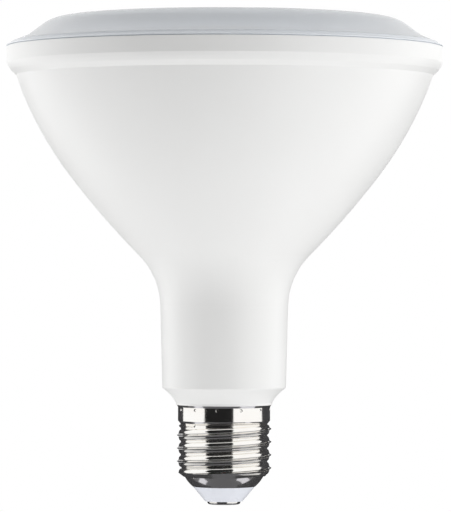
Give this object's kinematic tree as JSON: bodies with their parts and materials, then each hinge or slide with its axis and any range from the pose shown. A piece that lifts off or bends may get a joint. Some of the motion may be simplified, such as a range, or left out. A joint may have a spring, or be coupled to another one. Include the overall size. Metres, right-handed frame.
{
  "type": "led reflector bulb",
  "caption": "Wide cone-shaped reflector bulb with a slim neck, a raised satin-clear front lens and an E27 screw cap, with its light source, reflector and driver inside.",
  "frame": {"origin": "tip of the centre contact, on the bulb's axis", "axes": "+Z along the axis from the cap to the lens, +X to the right and +Y away from the camera in the picture"},
  "size_m": [0.1212, 0.1212, 0.1351],
  "materials": {
    "housing_white": "satin moulded white",
    "lens_satin": "clear with a satin frosted skin",
    "nickel": "bright nickel plate",
    "insulator_white": "smooth moulded",
    "contact_metal": "bright nickel plate",
    "aluminium": "drawn, plain",
    "board_white": "white solder mask on aluminium",
    "phosphor": "white package with yellow phosphor",
    "screw_steel": "zinc plated",
    "mirror_coat": "bright aluminised coat",
    "board_green": "green solder mask",
    "can_sleeve": "dark shrink sleeve, bare top",
    "film_case": "moulded box",
    "ferrite": "sintered, matt",
    "resistor_body": "coated",
    "moulded_black": "moulded black",
    "winding_tape": "yellow tape over wire",
    "lead_red": "insulated wire",
    "lead_black": "insulated wire"
  },
  "bodies": {
    "root": {"housing": "housing_white", "lens": "lens_satin", "screw_shell": "nickel", "cap_insulator": "insulator_white", "centre_contact": "contact_metal", "heat_sink": "aluminium", "led_board": "board_white", "leds": "phosphor", "board_screws": "screw_steel", "reflector": "mirror_coat", "driver_board": "board_green", "bulk_capacitor": "can_sleeve", "output_capacitor": "can_sleeve", "film_capacitor": "film_case", "filter_inductor": "ferrite", "fuse_resistor": "resistor_body", "bridge_rectifier": "moulded_black", "controller_chip": "moulded_black", "transformer_core": "ferrite", "transformer_winding": "winding_tape", "live_lead": "lead_red", "neutral_lead": "lead_black", "led_lead_positive": "lead_red", "led_lead_negative": "lead_black"}
  },
  "joints": []
}
